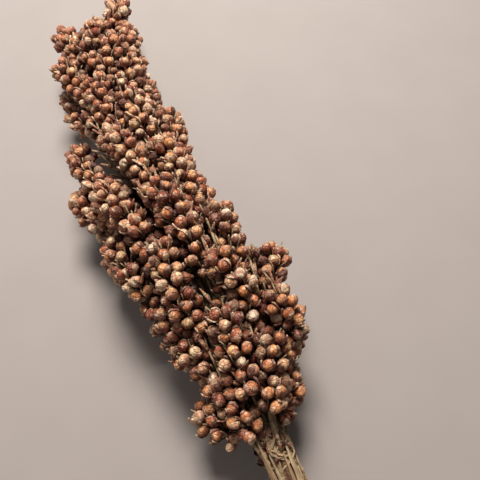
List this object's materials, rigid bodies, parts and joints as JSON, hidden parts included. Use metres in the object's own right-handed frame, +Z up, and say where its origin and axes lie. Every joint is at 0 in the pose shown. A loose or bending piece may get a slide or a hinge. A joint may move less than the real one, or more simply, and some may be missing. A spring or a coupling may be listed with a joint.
{
  "type": "sorghum seed head",
  "caption": "Dried sorghum seed head lying on its side: dense grain sprays packed along a straw-coloured stalk that ends in a plain cut.",
  "frame": {"origin": "middle of the bounding box in plan, at the surface that the head lies on", "axes": "+Y along the stalk towards the head's tip, +X across it, +Z up"},
  "size_m": [0.0706, 0.2972, 0.0489],
  "materials": {
    "straw": "dry matt straw",
    "grain": "dry grain, faintly waxy"
  },
  "bodies": {
    "root": {"stalk": "straw", "spray_01": "grain", "spray_02": "grain", "spray_03": "grain", "spray_04": "grain", "spray_05": "grain", "spray_06": "grain", "spray_07": "grain", "spray_08": "grain", "spray_09": "grain", "spray_10": "grain", "spray_11": "grain", "spray_12": "grain", "spray_13": "grain", "spray_14": "grain", "spray_15": "grain", "spray_16": "grain", "spray_17": "grain", "spray_18": "grain", "spray_19": "grain", "spray_20": "grain", "spray_21": "grain", "spray_22": "grain", "spray_23": "grain", "spray_24": "grain", "spray_25": "grain", "spray_26": "grain", "spray_27": "grain", "spray_28": "grain", "spray_29": "grain", "spray_30": "grain", "spray_31": "grain", "spray_32": "grain", "spray_33": "grain", "spray_34": "grain", "spray_35": "grain", "spray_36": "grain", "spray_37": "grain", "spray_38": "grain", "spray_39": "grain", "spray_40": "grain", "spray_41": "grain", "spray_42": "grain", "spray_43": "grain", "spray_44": "grain", "spray_45": "grain", "spray_46": "grain", "spray_47": "grain", "spray_48": "grain", "spray_49": "grain", "spray_50": "grain", "spray_51": "grain", "spray_52": "grain", "spray_53": "grain", "spray_54": "grain", "spray_55": "grain", "spray_56": "grain", "spray_57": "grain", "spray_58": "grain", "spray_59": "grain"}
  },
  "joints": []
}
